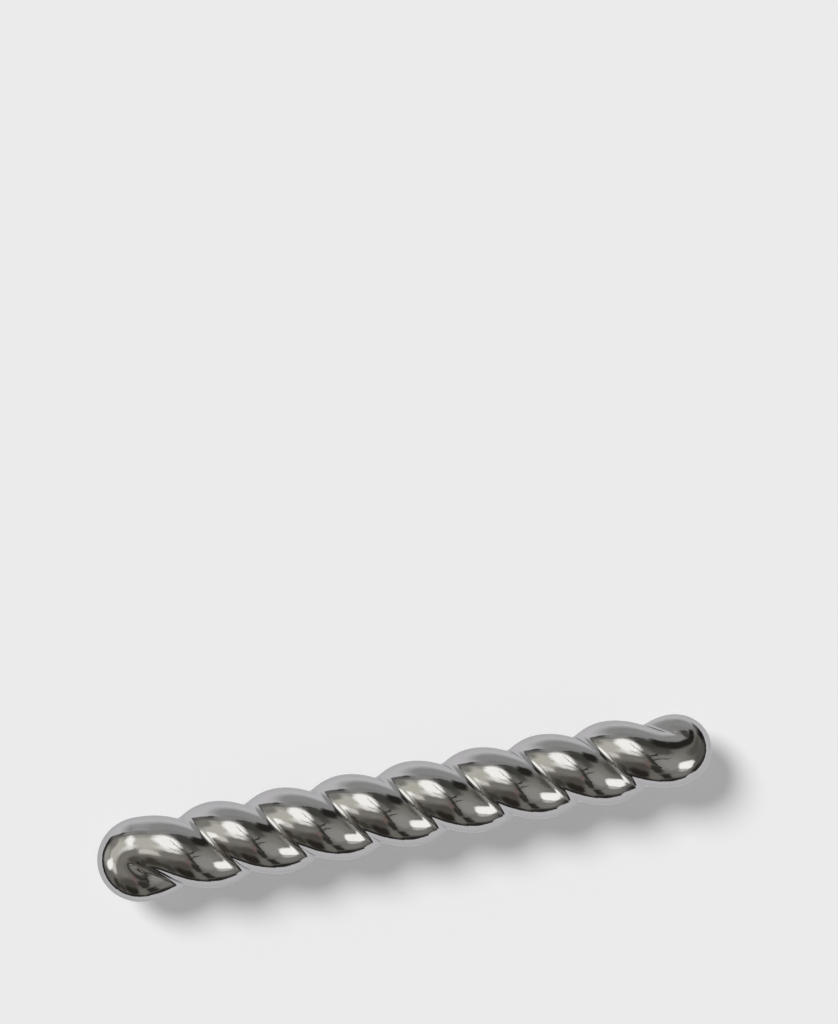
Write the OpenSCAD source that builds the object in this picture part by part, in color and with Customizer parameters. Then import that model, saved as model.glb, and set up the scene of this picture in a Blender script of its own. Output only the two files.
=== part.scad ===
// Hair barrette: a half-round bar in the shape of a loop of tube twisted into two strands, on a
// plain clip. The strands are whole where they show, and the bar is flat at the back.
// X runs along the bar, Z points up, and the part lies on the clip's lower arm at Z = 0.

/* [Bar] */
// Length over both U-turns
bar_len = 96; // [80:1:120]
// Width over both strands
bar_d = 13; // [12:0.5:15]
// Diameter of the tube
tube_d = 9; // [8.4:0.1:9.4]
// How much slimmer the right end is than the left, as a share of the width
taper = 0.047; // [0:0.001:0.08]
// How far the flat back lies above the middle of the tube's section
back_rise = 0.4; // [0:0.1:1]

/* [Twist] */
// Angle that the loop is turned through between the starts of its two U-turns
total_turn = 1364; // [1080:1:1450]
// Angle to the level of the loop's plane at the start of the left U-turn
left_angle = 15; // [-30:1:30]
// Reach of the left U-turn's centre line past the straight sides
left_reach = 2.3; // [2.1:0.1:4]
// Reach of the right U-turn's centre line past the straight sides
right_reach = 3.9; // [2.1:0.1:4]
// Length over which the twist slows towards the left U-turn
left_ease = 8; // [2:0.5:10]
// Share of the twist that is lost at the left U-turn
left_slow = 0.8; // [0:0.05:1]
// Length over which the twist slows towards the right U-turn
right_ease = 5; // [2:0.5:10]
// Share of the twist that is lost at the right U-turn
right_slow = 0.5; // [0:0.05:1]

/* [Clasp] */
// Length of the base plate
plate_len = 76; // [60:1:78]
// Width of the base plate
plate_w = 6.4; // [5.5:0.1:8]
// Thickness of the base plate
plate_t = 1; // [0.8:0.1:1.5]
// Length over the lower arm and its end bends
arm_len = 72; // [56:1:74]
// Width of the lower arm
arm_w = 5; // [4:0.1:5.4]
// Thickness of the lower arm
arm_t = 1; // [0.8:0.1:1.5]
// Height of the hair gap between plate and arm
hair_gap = 4.6; // [4.4:0.1:6]

/* [Resolution] */
// Rows of points along the bar between its rounded ends
bar_rows = 104; // [60:4:104]
// Rows of points over each rounded end
end_rows = 7; // [5:1:9]
// Points round the bar, a multiple of 4 so that two columns follow the grooves
columns = 52; // [24:4:52]

/* [Hidden] */
$fn = 48;

// Distance of each strand's centre line from the bar's axis, before the taper
strand_off = (bar_d - tube_d) / 2;
// The loop's straight sides, before it is twisted
side_len = bar_len - tube_d - left_reach - right_reach;
side_half = side_len / 2;
// Middle of the finished length, which is put at X = 0
mid_x = (right_reach - left_reach - taper * tube_d / 2 * side_len / bar_len) / 2;
// Degrees for each millimetre where the twist is even
twist_rate = total_turn / (side_len - left_slow * left_ease / 3 - right_slow * right_ease / 3);

clasp_h = plate_t + hair_gap + arm_t;
axis_z = clasp_h - back_rise;

// Size of the section at x against its size in the middle
function slimmed(x) = 1 - taper * x / bar_len;

// Twist lost to the slower stretch before a U-turn; far is the distance left to its start
function lost(far, ease, slow) =
    slow * (ease / 3 * pow(min(1, max(0, 1 - far / ease)), 3) + max(0, -far));

// Angle of the loop's plane at x
function turned(x) =
    left_angle + twist_rate * (x + side_half
        - left_slow * left_ease / 3
        + lost(x + side_half, left_ease, left_slow)
        - lost(side_half - x, right_ease, right_slow));

// One strand of the flat loop, tip to tip: place along the bar, and distance from its axis
line_step = 0.8;
side_steps = round(side_len / line_step);
turn_steps = 6;
flat_strand = concat(
    [for (i = [turn_steps : -1 : 1]) let (a = 90 * i / turn_steps)
        [-side_half - left_reach * sin(a), strand_off * cos(a)]],
    [for (i = [0 : side_steps])
        [side_len * i / side_steps - side_half, strand_off]],
    [for (i = [1 : turn_steps]) let (a = 90 * i / turn_steps)
        [side_half + right_reach * sin(a), strand_off * cos(a)]]);
last_line = len(flat_strand) - 2;

// The strand's centre line once twisted; the other strand is its half turn about the axis
strand = [for (p = flat_strand)
    let (a = turned(p.x), r = slimmed(p.x) * p.y) [p.x, r * cos(a), r * sin(a)]];

// Distance of point q from piece i of the strand
function from_piece(q, i) =
    let (a = strand[i], d = strand[i + 1] - a, t = max(0, min(1, (q - a) * d / (d * d))))
    norm(q - a - t * d);

// Pieces of the strand that lie near x
pieces_near = ceil(tube_d / line_step);
function near(x) =
    let (i = turn_steps + round((x + side_half) / side_len * side_steps), c = max(0, min(last_line, i)))
    [max(0, c - pieces_near) : min(last_line, c + pieces_near)];

// Distance of point q from the skin of the nearer strand
function gap(q) =
    min([for (i = near(q.x)) min(from_piece(q, i), from_piece([q.x, -q.y, -q.z], i))])
    - slimmed(q.x) * tube_d / 2;

// Point of the skin on the ray from c towards d, closed in on from outside
function skin_point(c, d, far = bar_d, tries = 9) =
    tries == 0 ? c + far * d : skin_point(c, d, far - gap(c + far * d), tries - 1);

// Half a row of points across the bar at x, leant by tilt out of the cross-section
function half_row(x, tilt) =
    [for (j = [0 : columns / 2 - 1]) let (a = turned(x) + 360 * j / columns)
        skin_point([x, 0, 0], [sin(tilt), cos(tilt) * cos(a), cos(tilt) * sin(a)])];
function row(x, tilt = 0) =
    let (half = half_row(x, tilt)) concat(half, [for (p = half) [p.x, -p.y, -p.z]]);

// The skin's rows run from end to end, and fan out over the ends from where the grooves stop
left_end = -side_half - left_reach + strand_off * strand_off / left_reach;
right_end = side_half + right_reach - strand_off * strand_off / right_reach;
skin_rows = concat(
    [for (i = [end_rows - 1 : -1 : 1]) row(left_end, -90 * i / end_rows)],
    [for (i = [0 : bar_rows]) row(left_end + (right_end - left_end) * i / bar_rows)],
    [for (i = [1 : end_rows - 1]) row(right_end, 90 * i / end_rows)]);

// A closed skin over rows of points, with a point at each end
module skin(rows, first, last) {
    n = len(rows);
    m = len(rows[0]);
    points = concat([for (r = rows) each r], [first, last]);
    faces = concat(
        [for (i = [0 : n - 2], j = [0 : m - 1]) let (k = (j + 1) % m)
            each [[i * m + j, i * m + m + j, i * m + k], [i * m + k, i * m + m + j, i * m + m + k]]],
        [for (j = [0 : m - 1]) [n * m, j, (j + 1) % m]],
        [for (j = [0 : m - 1]) [n * m + 1, n * m - m + (j + 1) % m, n * m - m + j]]);
    polyhedron(points, faces);
}

// The bar, cut flat at the back, where the clasp is seated
module twist_bar() {
    color("silver")
    difference() {
        translate([-mid_x, 0, axis_z])
            skin(skin_rows,
                skin_point([left_end, 0, 0], [-1, 0, 0]),
                skin_point([right_end, 0, 0], [1, 0, 0]));
        translate([-bar_len, -bar_d, clasp_h - bar_d])
            cube([2 * bar_len, 2 * bar_d, bar_d]);
    }
}

// A flat shape with round ends, centred, of length l and width w
module long_round(l, w) {
    square([l - w, w], center = true);
    for (side = [-1, 1])
        translate([side * (l - w) / 2, 0])
            circle(d = w);
}

// The plate under the bar, and below it the arm that holds the hair
module clasp() {
    color("gainsboro")
    union() {
        translate([0, 0, clasp_h - plate_t])
            linear_extrude(plate_t)
                long_round(plate_len, plate_w);
        rotate([90, 0, 0])
            linear_extrude(arm_w, center = true)
                difference() {
                    translate([0, clasp_h / 2])
                        long_round(arm_len, clasp_h);
                    translate([0, arm_t + hair_gap / 2])
                        long_round(arm_len - plate_t - arm_t, hair_gap);
                }
    }
}

twist_bar();
clasp();
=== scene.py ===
import math
import bpy
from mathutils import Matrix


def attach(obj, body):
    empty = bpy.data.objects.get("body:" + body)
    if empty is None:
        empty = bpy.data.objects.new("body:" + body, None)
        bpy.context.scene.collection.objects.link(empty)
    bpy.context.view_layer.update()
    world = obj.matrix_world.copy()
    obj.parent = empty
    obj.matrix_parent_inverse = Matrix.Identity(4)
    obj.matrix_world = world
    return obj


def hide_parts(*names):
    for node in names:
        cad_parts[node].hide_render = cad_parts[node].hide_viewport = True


# Hair barrette: a loop of polished tube twisted into a rope-like bar, lying on its clip.
# Sizes are in metres and angles in degrees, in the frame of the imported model.

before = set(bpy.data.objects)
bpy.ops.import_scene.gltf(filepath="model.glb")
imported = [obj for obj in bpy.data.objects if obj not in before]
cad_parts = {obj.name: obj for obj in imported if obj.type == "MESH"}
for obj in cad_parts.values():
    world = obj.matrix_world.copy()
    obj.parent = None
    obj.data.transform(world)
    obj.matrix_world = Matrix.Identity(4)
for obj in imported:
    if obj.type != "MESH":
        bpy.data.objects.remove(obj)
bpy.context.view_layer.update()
scene = bpy.context.scene
print("frame loaded:", ", ".join(sorted(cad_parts)))


class Num:
    # a node socket that holds a number, so that node maths reads as plain sums
    def __init__(self, bench, socket):
        self.bench, self.socket = bench, socket

    def maths(self, operation, *others):
        return self.bench.node("ShaderNodeMath", {"operation": operation}, [self, *others])

    def __add__(self, other):
        return self.maths("ADD", other)

    __radd__ = __add__

    def __mul__(self, other):
        return self.maths("MULTIPLY", other)

    __rmul__ = __mul__

    def __sub__(self, other):
        return self.maths("SUBTRACT", other)

    def __rsub__(self, other):
        return self.maths("MULTIPLY_ADD", -1.0, other)

    def __truediv__(self, other):
        return self.maths("DIVIDE", other)

    def __neg__(self):
        return self.maths("MULTIPLY", -1.0)

    def __pow__(self, other):
        return self.maths("POWER", other)

    def size(self):
        return self.maths("ABSOLUTE")

    def sin(self):
        return self.maths("SINE")

    def cos(self):
        return self.maths("COSINE")

    def floor(self):
        return self.maths("FLOOR")

    def least(self, other):
        return self.maths("MINIMUM", other)

    def most(self, other):
        return self.maths("MAXIMUM", other)

    def between(self, low, high):
        return self.most(low).least(high)


class Bench:
    # a node tree being built; node() adds any node and returns one of its outputs
    def __init__(self, tree):
        self.tree = tree

    def node(self, kind, settings=None, sockets=None, out=0):
        made = self.tree.nodes.new(kind)
        for name, value in (settings or {}).items():
            if name == "stops":
                self.fillRamp(made.color_ramp, value)
            else:
                setattr(made, name, value)
        items = sockets.items() if isinstance(sockets, dict) else enumerate(sockets or [])
        for key, value in items:
            self.plug(made.inputs[key], value)
        return made if out is None else Num(self, made.outputs[out])

    def plug(self, socket, value):
        if isinstance(value, Num):
            self.tree.links.new(value.socket, socket)
        elif value is not None:
            socket.default_value = value

    def fillRamp(self, ramp, stops):
        while len(ramp.elements) > 1:
            ramp.elements.remove(ramp.elements[-1])
        for i, (place, colour) in enumerate(stops):
            stop = ramp.elements[0] if i == 0 else ramp.elements.new(place)
            stop.position, stop.color = place, colour


def seen(tone, mirror=1.0):
    # a tone of 0 to 255, as light in front of a mirror that gives back this share
    def light(v):
        v = v / 255
        return v / 12.92 if v < 0.04045 else ((v + 0.055) / 1.055) ** 2.4
    return tuple(light(v) / mirror for v in tone) + (1.0,)


def blend(g, share, first, second):
    sockets = {0: share, 6: first, 7: second}
    return g.node("ShaderNodeMix", {"data_type": "RGBA"}, sockets, out=2)


# The twisted bar

barSizes = {
    "length": 0.096,  # over both U-turns
    "thickness": 0.013,  # over both strands
    "tube": 0.009,  # diameter of the tube
    "taper": 0.047,  # how much slimmer the right end is
    "totalTurn": 1364.0,  # between the starts of the two U-turns
    "leftAngle": 15.0,  # of the loop's plane at the start of the left U-turn
    "leftReach": 0.0023,  # of each U-turn's centre line past the straight sides
    "rightReach": 0.0039,
    "leftEase": 0.008,  # where the twist slows towards each U-turn, and by what share
    "leftSlow": 0.8,
    "rightEase": 0.005,
    "rightSlow": 0.5,
    "axisHeight": 0.0062,
    "backHeight": 0.0066,  # of the flat back, just above the tube's widest level
    "lineSteps": 4000,  # along each strand's centre line
    "barRows": 620,
    "endRows": 28,
    "columns": 212,  # a multiple of 4, so that two columns run along the grooves
    "crowding": 0.36,  # how much closer the columns stand at the grooves
    "fillet": 0.0011,  # by which the two strands' skins run into each other
    "rounds": 10,  # of closing in on the tube
    "grooveAngle": 24.0,  # edges sharper than this stay sharp
}


def twistTree():
    # The strands' centre lines are drawn first. A fine grid is then drawn in on them from
    # outside, along rays from the bar's axis, until each point lies on the tube's skin.
    tree = bpy.data.node_groups.new("twistedLoop", "GeometryNodeTree")
    g = Bench(tree)
    tree.interface.new_socket(name="Geometry", in_out="OUTPUT", socket_type="NodeSocketGeometry")
    for name, value in barSizes.items():
        kind = "NodeSocketInt" if isinstance(value, int) else "NodeSocketFloat"
        tree.interface.new_socket(name=name, in_out="INPUT", socket_type=kind)
    tree.interface.new_socket(name="material", in_out="INPUT", socket_type="NodeSocketMaterial")
    given = g.node("NodeGroupInput", out=None)
    size = {s.name: Num(g, s) for s in given.outputs if s.name}

    radians = math.pi / 180
    quarter = math.pi / 2
    off = (size["thickness"] - size["tube"]) / 2
    sideLen = size["length"] - size["tube"] - size["leftReach"] - size["rightReach"]
    half = sideLen / 2
    slowLen = size["leftSlow"] * size["leftEase"] + size["rightSlow"] * size["rightEase"]
    rate = size["totalTurn"] * radians / (sideLen - slowLen / 3)

    def slimmed(x):
        return 1 - size["taper"] * x / size["length"]

    def lost(far, ease, slow):
        eased = (1 - far / ease).between(0.0, 1.0) ** 3.0
        return slow * (ease / 3 * eased + (-far).most(0.0))

    def turned(x):
        left = lost(x + half, size["leftEase"], size["leftSlow"])
        right = lost(half - x, size["rightEase"], size["rightSlow"])
        even = x + half - size["leftSlow"] * size["leftEase"] / 3
        return size["leftAngle"] * radians + rate * (even + left - right)

    def vector(x, y, z):
        return g.node("ShaderNodeCombineXYZ", {}, [x, y, z])

    def parts(v):
        made = g.node("ShaderNodeSeparateXYZ", {}, [v], out=None)
        return [Num(g, s) for s in made.outputs]

    def ray(turn, lean):
        return vector(lean.sin(), lean.cos() * turn.cos(), lean.cos() * turn.sin())

    def along(start, way, far):
        step = g.node("ShaderNodeVectorMath", {"operation": "SCALE"}, {0: way, "Scale": far})
        return g.node("ShaderNodeVectorMath", {"operation": "ADD"}, [start, step])

    def store(geometry, name, value):
        return g.node("GeometryNodeStoreNamedAttribute", {"data_type": "FLOAT", "domain": "POINT"},
                      {"Geometry": geometry, "Name": name, "Value": value})

    def stored(name):
        return g.node("GeometryNodeInputNamedAttribute", {"data_type": "FLOAT"}, {"Name": name})

    def onRay():
        root = vector(stored("rootX"), 0.0, 0.0)
        return along(root, ray(stored("turn"), stored("lean")), stored("far"))

    def place(geometry, spot):
        return g.node("GeometryNodeSetPosition", {}, {"Geometry": geometry, "Position": spot})

    # one strand's centre line, tip to tip
    line = g.node("GeometryNodeMeshLine", {}, {"Count": size["lineSteps"] + 1})
    index = g.node("GeometryNodeInputIndex")
    turnLen = size["thickness"] / 4  # share of the line that each end's quarter turn takes
    u = index / size["lineSteps"] * (sideLen + 2 * turnLen) - turnLen
    leftTurn = (-u / turnLen).between(0.0, 1.0) * quarter
    rightTurn = ((u - sideLen) / turnLen).between(0.0, 1.0) * quarter
    lineX = (u.between(0.0, sideLen) - half - size["leftReach"] * leftTurn.sin()
             + size["rightReach"] * rightTurn.sin())
    lineOff = off * leftTurn.cos() * rightTurn.cos() * slimmed(lineX)
    lineTurn = turned(lineX)
    strand = place(line, vector(lineX, lineOff * lineTurn.cos(), lineOff * lineTurn.sin()))
    otherStrand = g.node("GeometryNodeTransform", {},
                         {"Geometry": strand, "Rotation": (math.pi, 0.0, 0.0)})

    # the grid's rows run from end to end and fan out over the ends; its columns go round
    columns, endRows, barRows = size["columns"], size["endRows"], size["barRows"]
    rows = barRows + 2 * endRows
    grid = g.node("GeometryNodeMeshGrid", {},
                  {"Vertices X": rows + 1, "Vertices Y": columns + 1})
    row = (index / (columns + 1)).floor()
    column = index - row * (columns + 1)
    leftEnd = off * off / size["leftReach"] - half - size["leftReach"]
    rightEnd = half + size["rightReach"] - off * off / size["rightReach"]
    share = ((row - endRows) / barRows).between(0.0, 1.0)
    rootX = leftEnd + share * (rightEnd - leftEnd)
    lean = ((row - endRows - barRows).most(0.0) - (endRows - row).most(0.0)) / endRows * quarter
    grid = store(grid, "lean", lean)
    grid = store(grid, "rootX", rootX)
    around = column / columns * (2 * math.pi)
    around = around + size["crowding"] * (around * 2).sin()
    grid = store(grid, "turn", turned(rootX) + around)
    grid = store(grid, "far", size["thickness"])
    # where the row's groove is, on the bar's rows alone
    grooveRow = row.between(endRows, endRows + barRows)
    grid = store(grid, "groove", grooveRow * (columns + 1) + columns / 4)

    loopIn = tree.nodes.new("GeometryNodeRepeatInput")
    loopOut = tree.nodes.new("GeometryNodeRepeatOutput")
    loopIn.pair_with_output(loopOut)
    g.plug(loopIn.inputs["Iterations"], size["rounds"])
    g.plug(loopIn.inputs["Geometry"], grid)
    body = Num(g, loopIn.outputs["Geometry"])
    body = place(body, onRay())
    here = g.node("GeometryNodeInputPosition")
    near, away = {}, {}
    for name, target in (("first", strand), ("other", otherStrand)):
        made = g.node("GeometryNodeProximity", {"target_element": "EDGES"},
                      {"Geometry": target, "Sample Position": here}, out=None)
        near[name] = Num(g, made.outputs["Distance"])
        away[name] = g.node("ShaderNodeVectorMath", {"operation": "SUBTRACT"},
                            [here, Num(g, made.outputs["Position"])])
    radius = slimmed(parts(here)[0]) * size["tube"] / 2
    uneven = near["first"] - near["other"]
    # where the two skins meet at an angle, they run into each other in a fillet
    facing = g.node("ShaderNodeVectorMath", {"operation": "DOT_PRODUCT"},
                    [away["first"], away["other"]], out=1)
    facing = facing / (near["first"] * near["other"]).most(1e-9)
    soft = size["fillet"] * (1 - facing).most(0.0) + 1e-7
    mixed = (0.5 - 0.5 * uneven / soft).between(0.0, 1.0)
    gap = near["other"] + uneven * mixed - soft * mixed * (1 - mixed) - radius
    atGroove = g.node("GeometryNodeFieldAtIndex", {"data_type": "FLOAT", "domain": "POINT"},
                      {"Index": stored("groove"), "Value": uneven})
    body = store(body, "swing", atGroove / stored("far").most(size["tube"] / 4))
    body = store(body, "far", stored("far") - gap)
    body = store(body, "turn", stored("turn") - stored("swing"))
    g.plug(loopOut.inputs["Geometry"], body)
    skin = Num(g, loopOut.outputs["Geometry"])

    # the last places, set to the part's frame
    midX = (size["rightReach"] - size["leftReach"]
            - size["taper"] * size["tube"] / 2 * sideLen / size["length"]) / 2
    x, y, z = parts(onRay())
    skin = place(skin, vector(x - midX, y, z + size["axisHeight"]))
    for name in ("lean", "rootX", "turn", "far", "groove", "swing"):
        skin = g.node("GeometryNodeRemoveAttribute", {}, {"Geometry": skin, "Name": name})
    skin = g.node("GeometryNodeMergeByDistance", {}, {"Geometry": skin, "Distance": 1e-6})
    skin = g.node("GeometryNodeFlipFaces", {}, {"Mesh": skin})
    # all below the flat back is cut away
    deep = size["thickness"]
    block = g.node("GeometryNodeMeshCube", {},
                   {"Size": vector(size["length"] * 2, size["length"], deep)})
    sunk = vector(0.0, 0.0, size["backHeight"] - deep / 2)
    block = g.node("GeometryNodeTransform", {}, {"Geometry": block, "Translation": sunk})
    skin = g.node("GeometryNodeMeshBoolean", {"operation": "DIFFERENCE", "solver": "EXACT"},
                  [skin, block])
    skin = g.node("GeometryNodeSetShadeSmooth", {"domain": "FACE"}, {"Geometry": skin})
    bend = g.node("GeometryNodeInputMeshEdgeAngle")
    sharp = g.node("FunctionNodeCompare", {"data_type": "FLOAT", "operation": "GREATER_THAN"},
                   [bend, size["grooveAngle"] * radians])
    skin = g.node("GeometryNodeSetShadeSmooth", {"domain": "EDGE"},
                  {"Geometry": skin, "Selection": sharp, "Shade Smooth": False})
    skin = g.node("GeometryNodeRealizeInstances", {}, {"Geometry": skin})
    skin = g.node("GeometryNodeSetMaterial", {}, {"Geometry": skin, "Material": size["material"]})
    g.node("NodeGroupOutput", {}, [skin], out=None)
    return tree


def growPiece(name, tree, values, material):
    # runs a geometry tree on an empty mesh and keeps the result as a plain mesh
    seed = bpy.data.objects.new(name + "Seed", bpy.data.meshes.new(name + "Seed"))
    scene.collection.objects.link(seed)
    modifier = seed.modifiers.new("grow", "NODES")
    modifier.node_group = tree
    for item in tree.interface.items_tree:
        if item.in_out == "INPUT":
            modifier[item.identifier] = values.get(item.name, material)
    evaluated = seed.evaluated_get(bpy.context.evaluated_depsgraph_get())
    mesh = bpy.data.meshes.new_from_object(evaluated)
    mesh.name = name
    seed.modifiers.remove(modifier)
    bpy.data.objects.remove(seed)
    piece = bpy.data.objects.new(name, mesh)
    scene.collection.objects.link(piece)
    return piece


metalLook = {
    "tone": (0.56, 0.555, 0.56),
    "worn": (0.50, 0.49, 0.485),  # where the plating is a little thinner
    "edge": (0.72, 0.72, 0.73, 1.0),  # tint towards the rims
    "roughness": 0.022,
    "smudged": 0.07,  # roughness where the metal has been touched
    "smudgeSize": 7.0,  # sizes and heights are in mm
    "wearSize": 1.6,
    "wave": 0.022,  # the slight unevenness of polished castings
    "waveSize": 4.5,
    "ripple": 0.0011,
    "rippleSize": 0.7,
    "hairline": 0.0005,  # depth of the polishing marks
    "hairSize": 0.16,
    "hairPatch": 5.0,
    "pit": 0.002,  # depth of the specks
    "specksPerMetre": 260.0,
}


def noise(g, place, size, detail=2.0, stretch=(1.0, 1.0, 1.0)):
    # a cloudy pattern whose blots measure about this many millimetres
    scale = tuple(1000.0 / size * v for v in stretch)
    place = g.node("ShaderNodeMapping", {}, {"Vector": place, "Scale": scale})
    return g.node("ShaderNodeTexNoise", {}, {"Vector": place, "Scale": 1.0, "Detail": detail})


def fade(g, value, low, high, start=0.0, end=1.0):
    return g.node("ShaderNodeMapRange", {"interpolation_type": "SMOOTHSTEP"},
                  [value, low, high, start, end])


def metalMaterial():
    look = metalLook
    material = bpy.data.materials.new("barMetal")
    material.use_nodes = True
    material.node_tree.nodes.clear()
    g = Bench(material.node_tree)
    place = g.node("ShaderNodeTexCoord", out=3)
    smudge = fade(g, noise(g, place, look["smudgeSize"], 4.0), 0.50, 0.68)
    wear = fade(g, noise(g, place, look["wearSize"], 5.0), 0.56, 0.74)
    # hairlines run round the bar, as from a polishing wheel
    hairs = fade(g, noise(g, place, look["hairSize"], 2.0, (1.0, 0.05, 0.05)), 0.66, 0.78)
    scratch = hairs * fade(g, noise(g, place, look["hairPatch"]), 0.5, 0.66)
    specks = g.node("ShaderNodeTexVoronoi", {"feature": "F1"},
                    {"Vector": place, "Scale": look["specksPerMetre"]})
    speck = fade(g, specks, 0.02, 0.07, 1.0, 0.0)
    colour = blend(g, wear * 0.6 + speck * 0.4, look["tone"] + (1.0,), look["worn"] + (1.0,))
    rough = (look["roughness"] + smudge * (look["smudged"] - look["roughness"])
             + wear * 0.02 + scratch * 0.05 + speck * 0.2)
    high = (noise(g, place, look["waveSize"], 1.0) * look["wave"]
            + noise(g, place, look["rippleSize"], 1.0) * look["ripple"]
            - scratch * look["hairline"] - speck * look["pit"])
    bump = g.node("ShaderNodeBump", {}, {"Strength": 1.0, "Distance": 0.001, "Height": high})
    shader = g.node("ShaderNodeBsdfPrincipled", {},
                    {"Base Color": colour, "Metallic": 1.0, "Roughness": rough,
                     "Specular Tint": look["edge"], "Normal": bump})
    g.node("ShaderNodeOutputMaterial", {}, [shader], out=None)
    return material


barMaterial = metalMaterial()
bar = growPiece("twistedBar", twistTree(), barSizes, barMaterial)
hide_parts("twist_bar")
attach(bar, "root")
print("bar made:", len(bar.data.polygons), "faces")

# The clasp, under the bar: the CAD solid in satin spring steel

claspLook = {
    "tone": (0.60, 0.60, 0.595),
    "dull": (0.45, 0.445, 0.44),
    "bright": (0.74, 0.74, 0.735),
    "roughness": 0.27,
    "brush": 0.0016,  # depth of the brushed lines, in mm as the sizes are
    "brushSize": 0.12,
    "cloudSize": 5.0,
    "rubSize": 0.6,
}


def claspMaterial():
    look = claspLook
    material = bpy.data.materials.new("claspSteel")
    material.use_nodes = True
    material.node_tree.nodes.clear()
    g = Bench(material.node_tree)
    place = g.node("ShaderNodeTexCoord", out=3)
    # brushed lines along the clasp, darker clouds, and rub marks that are brighter
    brushed = noise(g, place, look["brushSize"], 3.0, (0.03, 1.0, 1.0))
    clouds = fade(g, noise(g, place, look["cloudSize"], 4.0), 0.42, 0.66)
    rubbed = fade(g, noise(g, place, look["rubSize"], 3.0, (0.25, 1.0, 1.0)), 0.6, 0.72)
    colour = blend(g, clouds * 0.5 + brushed * 0.3, look["tone"] + (1.0,), look["dull"] + (1.0,))
    colour = blend(g, rubbed * 0.5, colour, look["bright"] + (1.0,))
    rough = look["roughness"] + clouds * 0.10 + brushed * 0.12 - rubbed * 0.08
    high = brushed * look["brush"] - rubbed * look["brush"] * 0.5
    bump = g.node("ShaderNodeBump", {}, {"Strength": 1.0, "Distance": 0.001, "Height": high})
    shader = g.node("ShaderNodeBsdfPrincipled", {},
                    {"Base Color": colour, "Metallic": 1.0, "Roughness": rough, "Normal": bump})
    g.node("ShaderNodeOutputMaterial", {}, [shader], out=None)
    return material


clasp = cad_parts["clasp"]
steel = claspMaterial()
for slot in clasp.material_slots:
    slot.material = steel
print("clasp finished:", len(clasp.material_slots), "slot")

# The camera looks straight down on the bar's line, which lies low in the picture

cameraSizes = {
    "frameWidth": 838.0,  # the picture, in pixels
    "frameHeight": 1024.0,
    "focal": 2100.0,  # focal length in pixels
    "scale": 0.0001536,  # metres for each pixel at the height of the bar's axis
    "barX": 404.5,  # where the bar's middle is seen
    "barY": 805.0,
    "barTilt": 11.7,  # the bar's rise to the right
    "sensor": 36.0,
}


def makeCamera():
    c = cameraSizes
    camera = bpy.data.objects.new("camera", bpy.data.cameras.new("camera"))
    scene.collection.objects.link(camera)
    camera.data.sensor_width = c["sensor"]
    camera.data.lens = c["focal"] / c["frameHeight"] * c["sensor"]
    camera.data.shift_y = c["barY"] / c["frameHeight"] - 0.5
    tilt = math.radians(c["barTilt"])
    right = (c["frameWidth"] / 2 - c["barX"]) * c["scale"]
    camera.location = (right * math.cos(tilt), -right * math.sin(tilt),
                       barSizes["axisHeight"] + c["focal"] * c["scale"])
    camera.rotation_euler = (0, 0, -tilt)
    camera.data.clip_start, camera.data.clip_end = 0.01, 10.0
    scene.camera = camera


makeCamera()
print("camera set, bar seen at", cameraSizes["barX"], cameraSizes["barY"])

# The studio. A polished bar shows what stands round it, so the panels are charted here as they
# are mirrored: x to the right and y up the picture, in degrees from straight overhead, half
# sizes, turn, softness and corner (2 is an ellipse, more is squarer), and the tone they show.

studioLook = {
    "mirror": 0.55,  # share of the light that the bar's metal gives back
    "ground": (176, 175, 176),  # the floor, wherever no panel covers it
    "wobble": 2.0,  # degrees by which the panels' edges wander
    "wobbleScale": 0.12,  # waves of that wander for each degree
}

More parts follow.
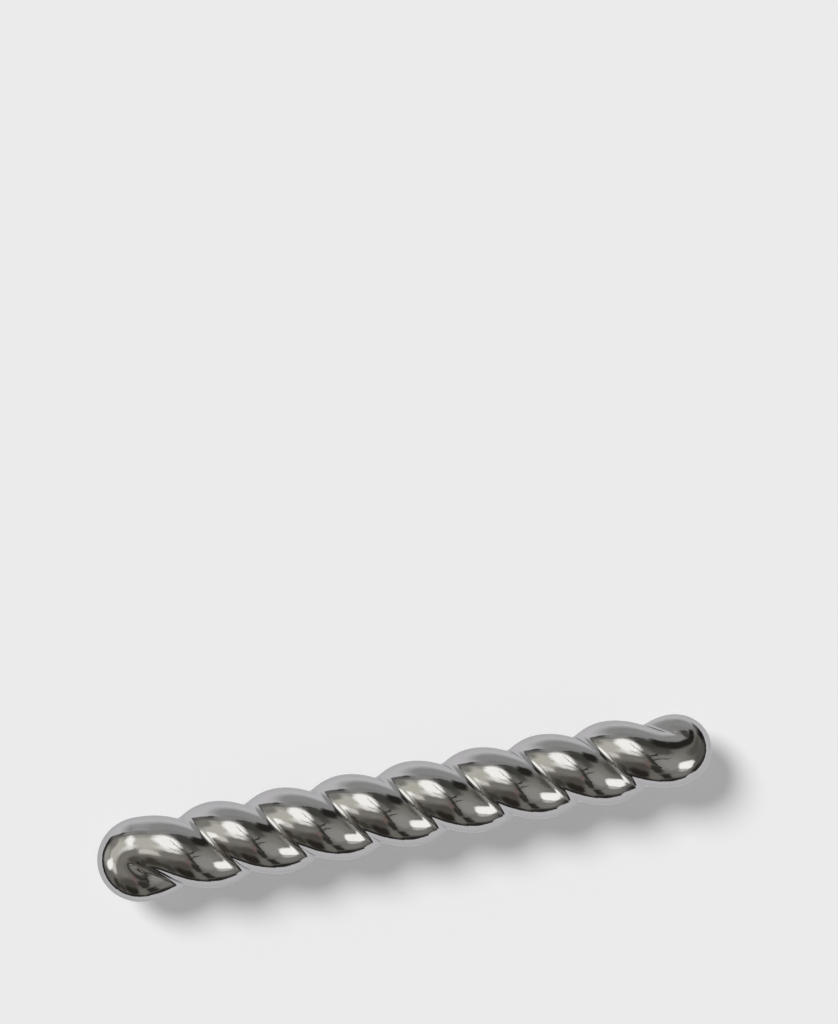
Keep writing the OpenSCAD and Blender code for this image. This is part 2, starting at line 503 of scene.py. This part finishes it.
panels = [
    ("rim", 0, -3, 106, 106, 0, 0.012, 2, (38, 37, 35)),
    ("rimRight", 11, 20, 88, 88, 0, 0.04, 2, (28, 27, 25)),
    ("room", -3, -6, 89, 89, 0, 0.06, 2, (98, 96, 91)),
    ("farLeft", -80, 4, 12, 22, 0, 0.5, 2, (146, 144, 138)),
    ("farRight", 80, 2, 16, 34, 0, 0.5, 2, (78, 77, 73)),
    ("nearFloor", 92, -92, 28, 28, 0, 0.04, 2, (175, 174, 175)),
    ("farFloor", -42, 172, 88, 112, 6, 0.02, 7, (177, 176, 177)),
    ("backdrop", 4, 75, 54, 32, 0, 0.33, 2, (129, 129, 128)),
    ("backdropLow", 0, 66, 26, 8, 4, 0.5, 2, (120, 120, 119)),
    ("topLeftGrey", -30, 48, 34, 12, 0, 0.3, 3, (126, 125, 122)),
    ("leftWall", -48, 6, 17, 31, 2, 0.35, 3, (170, 168, 158)),
    ("leftDark", -62, 30, 9, 16, 6, 0.5, 2, (116, 114, 109)),
    ("topLeftDark", -62, 49, 20, 6, -4, 0.5, 3, (92, 92, 90)),
    ("topLeftBlot", -50, 56, 5, 5, 0, 0.5, 2, (78, 78, 76)),
    ("rightWall", 36, 0, 24, 24, 0, 0.55, 2, (116, 114, 108)),
    ("rightUpper", 22, 24, 9, 12, 0, 0.5, 2, (72, 71, 67)),
    ("rightLow", 32, -26, 17, 26, 0, 0.5, 2, (130, 129, 124)),
    ("topRightDark", 16, 45, 22, 16, 4, 0.4, 2, (60, 60, 56)),
    ("topDarkEdge", 4, 58, 14, 3.5, 12, 0.6, 2, (62, 61, 59)),
    ("cornerDark", 34, 54, 11, 16, -6, 0.35, 3, (34, 33, 30)),
    ("rightEdge", 58, 26, 10, 26, 8, 0.5, 2, (76, 74, 68)),
    ("lowLeft", -24, -28, 24, 18, 0, 0.5, 2, (112, 110, 103)),
    ("softboxFoot", -18, 1, 16, 10, -4, 0.45, 2.2, (208, 207, 200)),
    ("softbox", -17, 25, 18, 22, 14, 0.25, 2.4, (235, 235, 230)),
    ("lowLeftFar", -24, -58, 18, 22, 0, 0.5, 2, (76, 74, 69)),
    ("leftColumn", -51, -60, 8, 18, 0, 0.35, 3, (56, 52, 47)),
    ("leftPillar", -38, -72, 6, 14, 6, 0.35, 3, (56, 54, 49)),
    ("lowShade", -14, -76, 16, 20, 3, 0.3, 2, (38, 35, 31)),
    ("middleShade", -8, -48, 13, 16, -16, 0.5, 2, (72, 68, 63)),
    ("warmStrip", 3, -32, 3.5, 12, 4, 0.6, 2, (104, 88, 83)),
    ("stem", 9, -16, 4.2, 20, 6, 0.3, 2, (62, 61, 56)),
    ("stemFoot", 11, -50, 6.5, 16, 10, 0.3, 2, (46, 46, 42)),
    ("footStrip", 7, -84, 8, 15, 4, 0.45, 3, (100, 98, 91)),
    ("footDark", 24, -76, 8, 12, 12, 0.3, 3, (40, 40, 36)),
    ("lowRight", 52, -64, 20, 16, 26, 0.5, 2, (112, 110, 106)),
    ("window", 56, -31, 14, 17, 0, 0.22, 2.4, (235, 235, 231)),
    ("windowTail", 52, -50, 9, 6, 0, 0.5, 2, (164, 163, 159)),
    ("lamp", -45, -22, 8, 9, 8, 0.5, 2.2, (186, 184, 177)),
    ("lampBar", -62, -15, 13, 11, 14, 0.3, 2.4, (236, 235, 230)),
    ("stemLine", 13, -30, 1.5, 20, 14, 0.5, 2, (34, 34, 30)),
    ("topLine", -52, 55, 12, 1.4, 14, 0.5, 2, (52, 52, 50)),
    ("streak", 2, 6, 1.3, 12, 30, 0.5, 2, (64, 64, 58)),
    ("streakLeft", -10, 2, 1.2, 9, 62, 0.6, 2, (110, 109, 102)),
    ("streakRight", 15, 3, 1.7, 11, -34, 0.5, 2, (38, 38, 34)),
    ("streakLow", 21, -6, 1.4, 10, -50, 0.5, 2, (46, 46, 42)),
    ("softboxSeam", -7, 22, 1.0, 12, 20, 0.7, 2, (150, 149, 143)),
]


def studioWorld():
    world = bpy.data.worlds.new("studio")
    world.use_nodes = True
    scene.world = world
    tree = world.node_tree
    tree.nodes.clear()
    g = Bench(tree)
    look = studioLook
    level = (0, 0, math.radians(cameraSizes["barTilt"]))
    way = g.node("ShaderNodeTexCoord")
    way = g.node("ShaderNodeMapping", {}, {"Vector": way, "Rotation": level})
    made = g.node("ShaderNodeSeparateXYZ", {}, [way], out=None)
    right, up, high = [Num(g, socket) for socket in made.outputs]
    flat = (right * right + up * up + 1e-8) ** 0.5
    fall = high.maths("ARCCOSINE") * (180 / math.pi) / flat
    spot = g.node("ShaderNodeCombineXYZ", {}, [right * fall, up * fall, 0.0])
    stray = g.node("ShaderNodeTexNoise", {},
                   {"Vector": spot, "Scale": look["wobbleScale"], "Detail": 4.0}, out=1)
    stray = g.node("ShaderNodeVectorMath", {"operation": "SUBTRACT"}, [stray, (0.5, 0.5, 0.5)])
    stray = g.node("ShaderNodeVectorMath", {"operation": "SCALE"},
                   {0: stray, "Scale": 4 * look["wobble"]})
    spot = g.node("ShaderNodeVectorMath", {"operation": "ADD"}, [spot, stray])
    colour = seen(look["ground"], look["mirror"])
    for name, x, y, w, h, turn, soft, corner, tone in panels:
        place = g.node("ShaderNodeMapping", {"vector_type": "TEXTURE"},
                       {"Vector": spot, "Location": (x, y, 0), "Scale": (w, h, 1),
                        "Rotation": (0, 0, math.radians(turn))})
        made = g.node("ShaderNodeSeparateXYZ", {}, [place], out=None)
        across, along = [Num(g, socket).size() ** float(corner) for socket in made.outputs[:2]]
        reach = (across + along) ** (1 / corner)
        share = g.node("ShaderNodeMapRange", {"interpolation_type": "SMOOTHSTEP"},
                       [reach, 1 - soft, 1 + soft, 1.0, 0.0])
        colour = blend(g, share, colour, seen(tone, look["mirror"]))
    mirrored = g.node("ShaderNodeBackground", {}, [colour, 1.0])
    behind = g.node("ShaderNodeBackground", {}, [seen(floorLook["tone"]), 1.0])
    ambient = g.node("ShaderNodeBackground", {}, [floorLook["ambient"], 1.0])
    rays = g.node("ShaderNodeLightPath", out=None)
    camera = Num(g, rays.outputs["Is Camera Ray"])
    glossy = Num(g, rays.outputs["Is Glossy Ray"])
    shown = g.node("ShaderNodeMixShader", {}, [camera, ambient, behind])
    shown = g.node("ShaderNodeMixShader", {}, [glossy, shown, mirrored])
    g.node("ShaderNodeOutputWorld", {}, [shown], out=None)


floorLook = {
    "tone": (235, 235, 235),
    "albedo": (0.90, 0.90, 0.90, 1.0),
    "ambient": (0.19, 0.19, 0.19, 1.0),
    "glow": 0.20,  # even light that the bar's own shade doesn't dim
    "size": 2.0,
    "sunTurn": -54.0,  # where the soft key light stands, from up the picture to the right
    "sunHeight": 47.0,
    "sunSpread": 24.0,
    "sunPower": 2.196,
}


def makeFloor():
    half = floorLook["size"] / 2
    corners = [(-half, -half, 0), (half, -half, 0), (half, half, 0), (-half, half, 0)]
    mesh = bpy.data.meshes.new("floor")
    mesh.from_pydata(corners, [], [(0, 1, 2, 3)])
    floor = bpy.data.objects.new("floor", mesh)
    scene.collection.objects.link(floor)
    floor.visible_glossy = False  # the metal shows the floor that is charted with the panels
    material = bpy.data.materials.new("floor")
    material.use_nodes = True
    material.node_tree.nodes.clear()
    g = Bench(material.node_tree)
    plain = g.node("ShaderNodeBsdfDiffuse", {}, [floorLook["albedo"]])
    glow = g.node("ShaderNodeEmission", {}, [(1.0, 1.0, 1.0, 1.0), floorLook["glow"]])
    surface = g.node("ShaderNodeAddShader", {}, [plain, glow])
    g.node("ShaderNodeOutputMaterial", {}, [surface], out=None)
    mesh.materials.append(material)


def makeKeyLight():
    f = floorLook
    sun = bpy.data.objects.new("key", bpy.data.lights.new("key", "SUN"))
    sun.data.energy = f["sunPower"]
    sun.data.angle = math.radians(f["sunSpread"])
    turn = f["sunTurn"] + cameraSizes["barTilt"]
    sun.rotation_euler = (math.radians(f["sunHeight"] - 90), 0, math.radians(-turn))
    sun.visible_glossy = False
    scene.collection.objects.link(sun)


makeFloor()
makeKeyLight()
studioWorld()
scene.view_settings.view_transform = "Standard"
print("floor, key light and studio made:", len(panels), "panels")
